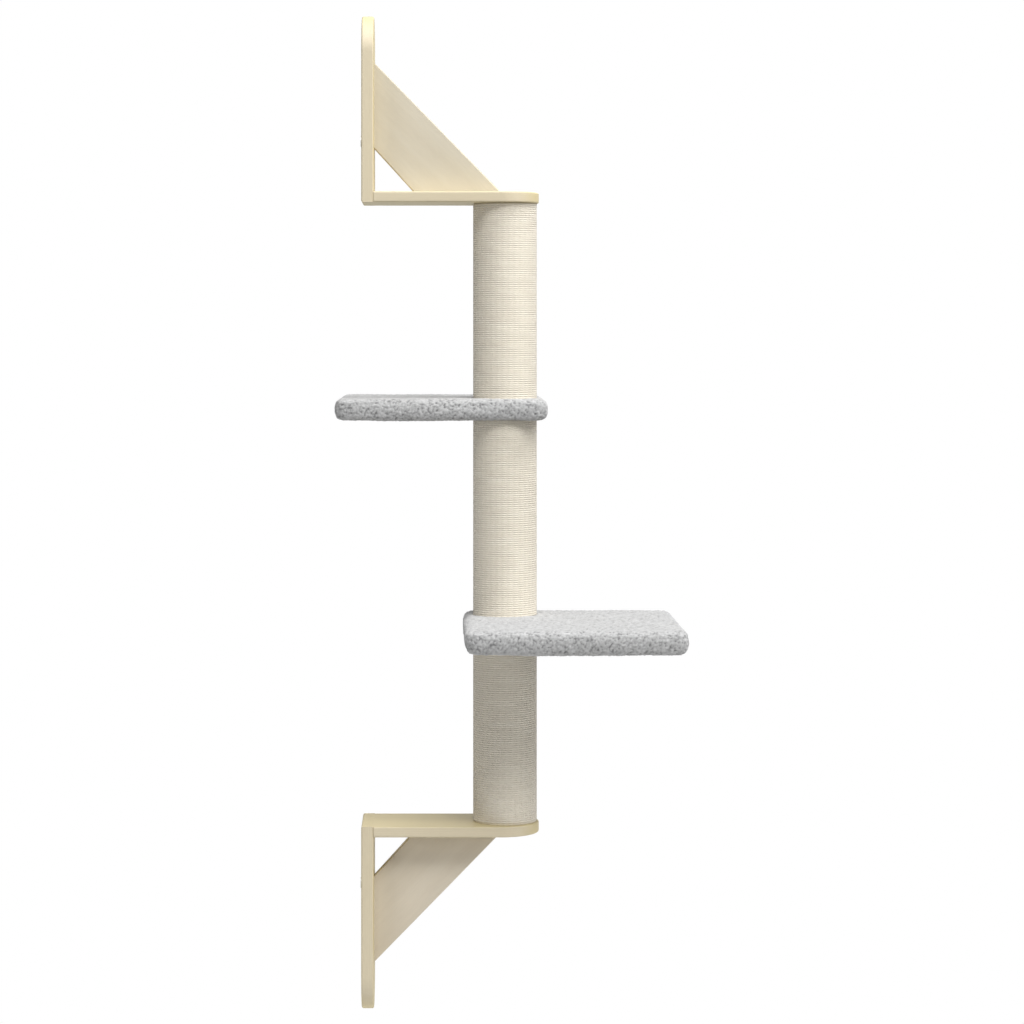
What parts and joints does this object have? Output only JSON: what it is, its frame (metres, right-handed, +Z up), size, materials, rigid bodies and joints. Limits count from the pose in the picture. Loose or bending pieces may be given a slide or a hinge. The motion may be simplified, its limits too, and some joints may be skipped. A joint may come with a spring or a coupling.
{
  "type": "wall mounted cat tree",
  "caption": "Wall mounted cat tree: a rope-wound scratching post between plywood wall brackets, with plush-covered square platforms clamped to it that turn about the post",
  "frame": {"origin": "the middle of the lower wall plate's four screw holes, in the plane of the plates' backs", "axes": "+X out of the wall, +Y along the wall, +Z up along the post"},
  "size_m": [0.4195, 0.4194, 1.228],
  "materials": {
    "bracket_plywood": "pale birch plywood, fine grain, satin clear lacquer",
    "zinc_steel": "bright zinc plated steel",
    "sisal_rope": "cream sisal rope, close fine turns",
    "paper_tube": "brown spiral wound paper tube",
    "end_disc_wood": "raw plywood",
    "deck_board": "raw particle board",
    "grey_plush": "light grey short pile plush"
  },
  "bodies": {
    "post_and_brackets": {"upper_wall_plate": "bracket_plywood", "upper_shelf": "bracket_plywood", "upper_gusset": "bracket_plywood", "lower_wall_plate": "bracket_plywood", "lower_shelf": "bracket_plywood", "lower_gusset": "bracket_plywood", "shelf_screws": "zinc_steel", "gusset_screws": "zinc_steel", "shelf_bolts": "zinc_steel", "upper_rope": "sisal_rope", "middle_rope": "sisal_rope", "lower_rope": "sisal_rope", "post_tubes": "paper_tube", "post_end_discs": "end_disc_wood", "sleeve_nuts": "zinc_steel", "platform_studs": "zinc_steel"},
    "upper_platform": {"upper_platform_deck": "deck_board", "upper_platform_cover": "grey_plush", "upper_platform_underside": "grey_plush", "upper_platform_staples": "zinc_steel"},
    "lower_platform": {"lower_platform_deck": "deck_board", "lower_platform_cover": "grey_plush", "lower_platform_underside": "grey_plush", "lower_platform_staples": "zinc_steel"}
  },
  "joints": [
    {"name": "upper_platform_swivel", "type": "hinge", "parent": "post_and_brackets", "child": "upper_platform", "pos_m": [0.177, 0, 0.61], "axis": [0, 0, 1], "continuous": true},
    {"name": "lower_platform_swivel", "type": "hinge", "parent": "post_and_brackets", "child": "lower_platform", "pos_m": [0.177, 0, 0.3425], "axis": [0, 0, 1], "continuous": true}
  ]
}
